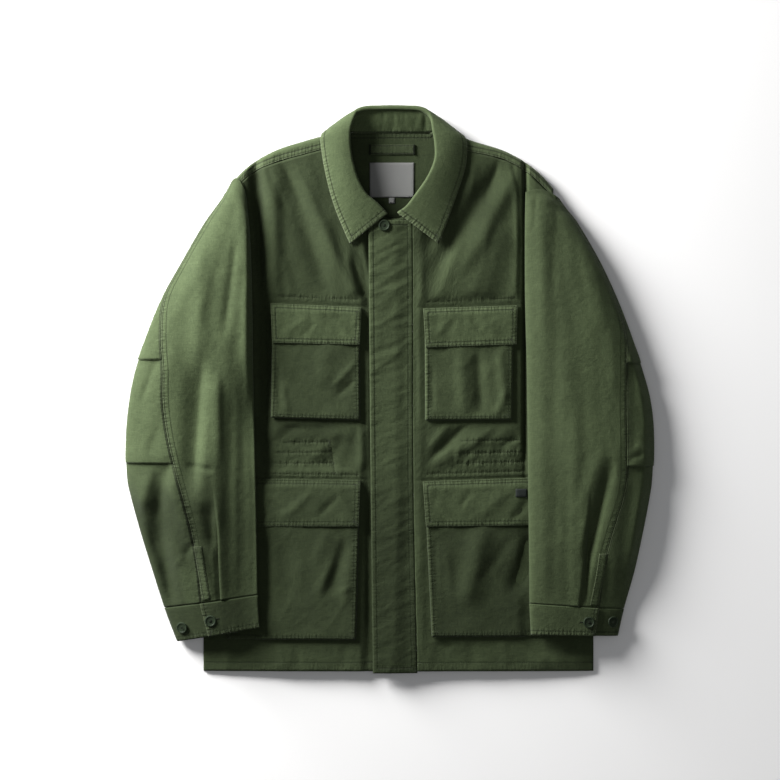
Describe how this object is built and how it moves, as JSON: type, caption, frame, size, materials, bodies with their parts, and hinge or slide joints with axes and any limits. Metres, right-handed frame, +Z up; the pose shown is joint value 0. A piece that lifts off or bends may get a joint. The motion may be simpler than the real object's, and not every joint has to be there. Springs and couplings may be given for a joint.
{
  "type": "field jacket",
  "caption": "Olive cotton field jacket laid flat on its back: turned-down collar, covered front fly, bellows pockets with flaps, two-piece sleeves with buttoned cuffs.",
  "frame": {"origin": "on the surface that the jacket lies on, at the middle of its outline", "axes": "+Y from the hem to the collar, +Z up out of the surface towards the jacket's front, +X towards the wearer's left sleeve"},
  "size_m": [0.7292, 0.7809, 0.0378],
  "materials": {
    "olive_twill": "matt",
    "olive_twill_inside": "matt",
    "grey_label": "matt",
    "dark_tab": "matt",
    "dark_green_button": "satin"
  },
  "bodies": {
    "root": {"back": "olive_twill_inside", "back_yoke": "olive_twill", "chest_pocket_left_bag": "olive_twill", "chest_pocket_left_flap": "olive_twill", "chest_pocket_right_bag": "olive_twill", "chest_pocket_right_flap": "olive_twill", "collar_leaf": "olive_twill", "collar_stand": "olive_twill", "cuff_button_left_inner": "dark_green_button", "cuff_button_left_outer": "dark_green_button", "cuff_button_right_inner": "dark_green_button", "cuff_button_right_outer": "dark_green_button", "cuff_left": "olive_twill", "cuff_right": "olive_twill", "flap_tab": "dark_tab", "fly": "olive_twill", "front_left": "olive_twill", "front_right": "olive_twill", "hanger_loop": "olive_twill_inside", "lower_pocket_left_bag": "olive_twill", "lower_pocket_left_flap": "olive_twill", "lower_pocket_right_bag": "olive_twill", "lower_pocket_right_flap": "olive_twill", "neck_button": "dark_green_button", "neck_label": "grey_label", "size_tab": "grey_label", "sleeve_placket_left": "olive_twill", "sleeve_placket_right": "olive_twill", "sleeve_under_left": "olive_twill", "sleeve_under_right": "olive_twill", "sleeve_upper_left": "olive_twill", "sleeve_upper_right": "olive_twill"}
  },
  "joints": []
}
